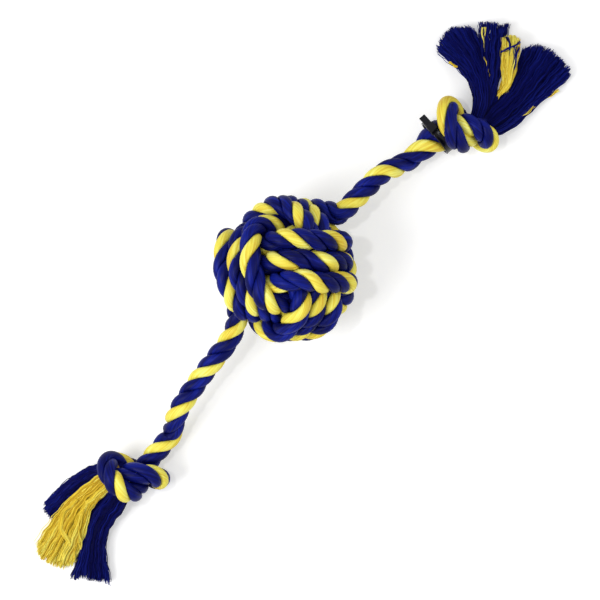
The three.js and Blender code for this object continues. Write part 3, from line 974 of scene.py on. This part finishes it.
def lock_yarns(name, lock, material):
    """A lock and its wisps as one piece, each yarn a thin skin that tapers to its end."""
    lines, tones = bundle(lock["course"], yarns_per_lock, lock["trim"], clump_count)
    for course, count in lock["wisps"]:
        more, shades = bundle(course, count, (0, 0), wisp_clumps + count // yarns_per_wisp_clump)
        lines += more
        tones += shades
    rings, lengths = [], []
    for line in lines:
        way = unit(np.gradient(line, axis=0))
        side = unit(np.cross(way, upward))
        over = np.cross(side, way)
        angle = 2 * math.pi * np.arange(yarn_sides) / yarn_sides + rng.uniform(0, yarn_spin)
        radius = yarn_radius * (1 - yarn_taper * np.linspace(0, 1, len(line))[:, None, None] ** 3)
        sideways = np.cos(angle)[None, :, None] * side[:, None]
        ring = sideways + np.sin(angle)[None, :, None] * over[:, None]
        rings.append(line[:, None] + radius * ring)
        lengths.append(measure(line) + rng.uniform(0, pattern_shift))
    around = np.arange(yarn_sides + 1) * yarn_radius * 2
    across = np.tile(around, (len(lines), yarn_steps + 1, 1))
    return skins(name, np.array(rings), across, np.array(lengths), material, np.array(tones))


tassels = {}
for side, locks, knot, lie in (
    ("left", left_locks, left_knot, left_knot_lie),
    ("right", right_locks, right_knot, right_knot_lie),
):
    tassels[side] = []
    for lock in locks:
        colour = lock["name"].split("_")[0]
        material = blue_yarn if colour == "blue" else yellow_yarn
        piece = lock_yarns(f"{side}_tassel_{lock['name']}_yarn", lock, material)
        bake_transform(piece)
        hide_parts(f"{side}_tassel_{lock['name']}")
        tassels[side].append(piece)


# The cable tie

tie_inner = tie_seat_radius + tie_clearance
tie_lean = Vector((0, 0, 1)).rotation_difference(Vector(tie_out)).to_matrix().to_4x4()
tie_turn = Matrix.Translation(Vector(tie_middle)) @ tie_lean
tie_turn = tie_turn @ Matrix.Rotation(math.radians(tie_head_turn), 4, "Z")


def rounded(mesh, edges, width, segments=3):
    """Rounds these edges of a mesh."""
    bmesh.ops.bevel(
        mesh,
        geom=edges,
        offset=width,
        segments=segments,
        profile=0.5,
        affect="EDGES",
        material=-1,
    )


def corners_of(mesh, least_angle):
    """The edges where two faces meet at more than an angle, in radians."""
    return [e for e in mesh.edges if len(e.link_faces) == 2 and e.calc_face_angle() > least_angle]


def tie_strap():
    """The strap, spun once round the neck, with a raised rim along both its edges."""
    mesh = bmesh.new()
    half = tie_width / 2
    outer = tie_inner + tie_thickness
    groove = outer - tie_groove
    rim_foot = tie_rim_foot * tie_rim
    outline = [
        (tie_inner, -half),
        (outer, -half),
        (outer, -half + tie_rim),
        (groove, -half + rim_foot),
        (groove, half - rim_foot),
        (outer, half - tie_rim),
        (outer, half),
        (tie_inner, half),
    ]
    corners = [mesh.verts.new((r, 0, z)) for r, z in outline]
    edges = [mesh.edges.new((a, b)) for a, b in zip(corners, corners[1:] + corners[:1])]
    bmesh.ops.spin(
        mesh,
        geom=corners + edges,
        axis=(0, 0, 1),
        cent=(0, 0, 0),
        dvec=(0, 0, 0),
        angle=2 * math.pi,
        steps=strap_steps,
        use_merge=True,
    )
    bmesh.ops.remove_doubles(mesh, verts=mesh.verts, dist=strap_weld)
    bmesh.ops.recalc_face_normals(mesh, faces=mesh.faces)
    rounded(mesh, corners_of(mesh, strap_corner), tie_edge, 2)
    return mesh


def add_block(mesh, size, place):
    matrix = Matrix.Translation(place) @ Matrix.Diagonal((*size, 1))
    return bmesh.ops.create_cube(mesh, size=1, matrix=matrix)["verts"]


def tie_head():
    """The ratchet head: a tapered box, hollowed at both ends where the strap runs in and out."""
    mesh = bmesh.new()
    middle = tie_inner + tie_head_sink + tie_head_height / 2
    size = (tie_head_length, tie_head_height, tie_head_width)
    verts = add_block(mesh, size, (0, middle, 0))
    top = [v for v in verts if v.co.y > middle]
    bmesh.ops.scale(mesh, vec=tie_head_taper, verts=top, space=Matrix())

    def end_faces():
        return [f for f in mesh.faces if abs(f.normal.x) > tie_head_end]

    walls = bmesh.ops.inset_individual(mesh, faces=end_faces(), thickness=tie_head_wall, depth=0)
    for face in [f for f in end_faces() if f not in walls["faces"]]:
        inwards = face.normal * -tie_head_hollow
        made = bmesh.ops.extrude_discrete_faces(mesh, faces=[face])["faces"][0]
        bmesh.ops.translate(mesh, verts=made.verts, vec=inwards)
    rounded(mesh, corners_of(mesh, tie_head_corner), tie_head_edge)
    return mesh


def tie_tail():
    """The strap's cut end past the head, with its ladder of teeth."""
    mesh = bmesh.new()
    base = tie_inner + tie_head_sink + tie_head_height / 2
    length = tie_tail_length + tie_head_sink
    middle = tie_head_length / 2 + (tie_tail_length - tie_head_sink) / 2
    add_block(mesh, (length, tie_tail_thickness, tie_tail_width), (middle, base, 0))
    rounded(mesh, list(mesh.edges), tie_tail_edge)
    for k in range(tie_teeth):
        place = (tie_head_length / 2 + (k + 0.5) * tooth_pitch, base - tooth_sink, 0)
        verts = add_block(mesh, (tooth_length, tooth_height, tooth_width), place)
        edges = list({e for v in verts for e in v.link_edges})
        rounded(mesh, edges, tooth_edge, 1)
    return mesh


for name, made in (("tie_strap", tie_strap()), ("tie_head", tie_head()), ("tie_tail", tie_tail())):
    bmesh.ops.transform(made, matrix=tie_turn, verts=made.verts, space=Matrix())
    bmesh.ops.recalc_face_normals(made, faces=made.faces)
    piece = finished(made, name, black_nylon)
    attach(piece, "right_arm")
    if name == "tie_strap":
        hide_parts("cable_tie")

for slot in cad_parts["fist_core"].material_slots:
    slot.material = core_rubber


# Floor and light

def floor_paint():
    """Pale floor: white as the camera sees it, and still shaded by the toy."""
    finish = Finish("floor", Base_Color=(0.9, 0.9, 0.9, 1), Roughness=0.9, Specular_IOR_Level=0.1)
    path = finish.node("ShaderNodeLightPath")
    seen = finish.maths("MAXIMUM", path.outputs["Is Camera Ray"], path.outputs["Is Glossy Ray"])
    seen = finish.maths("MAXIMUM", seen, path.outputs["Is Transmission Ray"])
    glow = finish.maths("MULTIPLY", seen, floor_glow)
    finish.shader.inputs["Emission Color"].default_value = white
    finish.links.new(glow, finish.shader.inputs["Emission Strength"])
    return finish.material


sheet = bmesh.new()
bmesh.ops.create_grid(sheet, x_segments=1, y_segments=1, size=floor_size)
floor = finished(sheet, "floor", floor_paint(), smooth=False)
floor.data.transform(Matrix.Translation((0, 0, -floor_drop)))

world = bpy.data.worlds.new("studio")
bpy.context.scene.world = world
world.use_nodes = True
nodes = world.node_tree.nodes
links = world.node_tree.links
backdrop = nodes["Background"]
path = nodes.new("ShaderNodeLightPath")
brightest = nodes.new("ShaderNodeMath")
brightest.operation = "MAXIMUM"
links.new(path.outputs["Is Camera Ray"], brightest.inputs[0])
links.new(path.outputs["Is Glossy Ray"], brightest.inputs[1])
level = nodes.new("ShaderNodeMapRange")
level.inputs["To Min"].default_value = world_light
level.inputs["To Max"].default_value = 1
links.new(brightest.outputs[0], level.inputs["Value"])
links.new(level.outputs[0], backdrop.inputs["Strength"])
backdrop.inputs["Color"].default_value = white


def softbox(name, place, size, power):
    """A round soft lamp that faces the toy."""
    data = bpy.data.lights.new(name, "AREA")
    data.shape = "DISK"
    data.size = size
    data.energy = power
    lamp = bpy.data.objects.new(name, data)
    lamp.location = place
    lamp.rotation_euler = Vector(place).to_track_quat("Z", "Y").to_euler()
    bpy.context.scene.collection.objects.link(lamp)


softbox("key", (-0.75, 0.35, 1.0), size=0.7, power=9)
softbox("fill", (0.8, -0.7, 0.9), size=0.9, power=4)
softbox("glint", (-0.15, 0.25, 1.4), size=0.07, power=2.6)

scene = bpy.context.scene
scene.view_settings.view_transform = "Standard"
